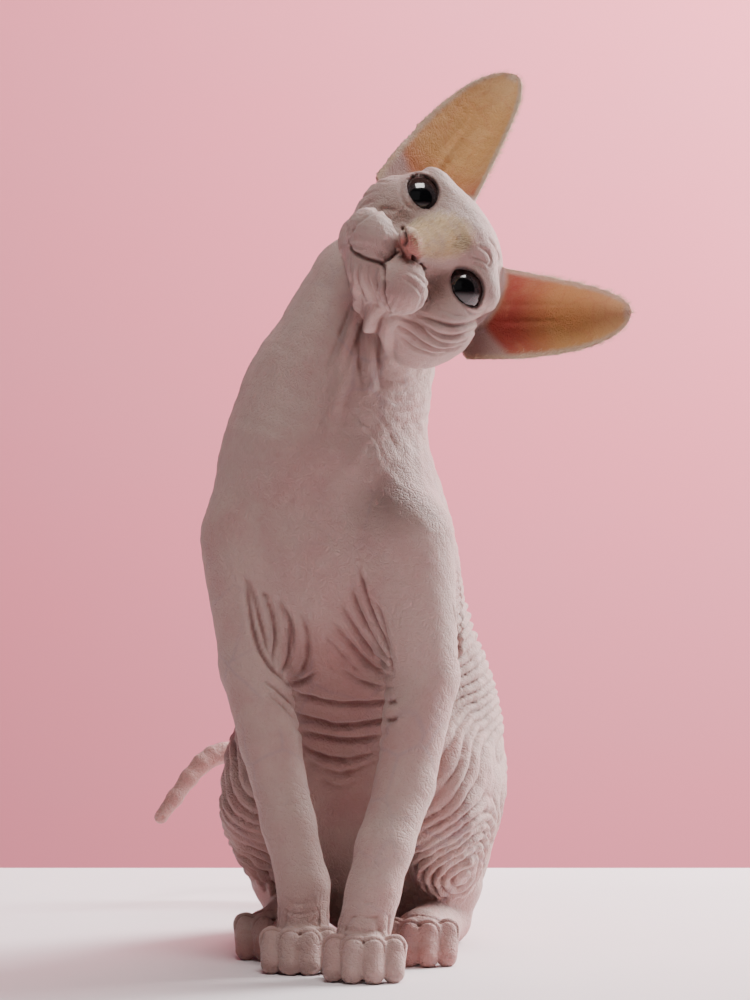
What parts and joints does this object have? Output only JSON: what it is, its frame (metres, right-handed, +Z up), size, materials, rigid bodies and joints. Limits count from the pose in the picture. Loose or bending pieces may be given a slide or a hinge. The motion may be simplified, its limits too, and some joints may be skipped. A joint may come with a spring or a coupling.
{
  "type": "sitting sphynx cat",
  "caption": "Life-size still model of a hairless sphynx cat that sits upright with its head tilted to one side, large cupped ears and its tail lifted behind it.",
  "frame": {"origin": "the middle of the whole model's box, on the floor that the paws and the rump rest on", "axes": "+Z up, the cat's face and chest towards -Y, the cat's left side towards +X"},
  "size_m": [0.2236, 0.3286, 0.3942],
  "materials": {
    "skin": "soft bare skin, pale pinkish grey with fine down, matte",
    "eye": "wet gloss, grey-brown iris round a wide dark pupil"
  },
  "bodies": {
    "root": {"head": "skin", "ear_left": "skin", "ear_right": "skin", "eye_left": "eye", "eye_right": "eye", "neck": "skin", "torso": "skin", "abdomen": "skin", "shoulder_left": "skin", "shoulder_right": "skin", "foreleg_lower_left": "skin", "foreleg_lower_right": "skin", "paw_fore_left": "skin", "paw_fore_right": "skin", "thigh_left": "skin", "thigh_right": "skin", "foot_hind_left": "skin", "foot_hind_right": "skin", "paw_hind_left": "skin", "paw_hind_right": "skin", "tail_base": "skin", "tail_middle": "skin", "tail_end": "skin"}
  },
  "joints": []
}
